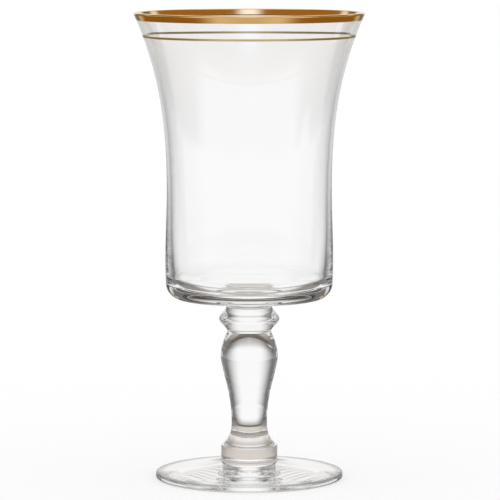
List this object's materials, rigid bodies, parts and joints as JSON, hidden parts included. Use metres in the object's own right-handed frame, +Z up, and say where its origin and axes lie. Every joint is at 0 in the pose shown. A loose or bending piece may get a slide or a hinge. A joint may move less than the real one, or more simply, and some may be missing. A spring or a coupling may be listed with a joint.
{
  "type": "water goblet",
  "caption": "Stemmed water goblet of clear glass with a flared bowl, a collared baluster stem, a round foot, and a gilded lip with a gold hairline below it.",
  "frame": {"origin": "centre of the foot's underside, on the table", "axes": "+Z up along the turning axis of the goblet; X and Y are free because the goblet is turned about Z"},
  "size_m": [0.0936, 0.0936, 0.1905],
  "materials": {
    "clear_glass": "clear fire-polished glass",
    "fired_gold": "bright fired gold"
  },
  "bodies": {
    "root": {"foot": "clear_glass", "stem": "clear_glass", "collar": "clear_glass", "bowl": "clear_glass", "gold_rim_band": "fired_gold", "gold_hairline": "fired_gold"}
  },
  "joints": []
}
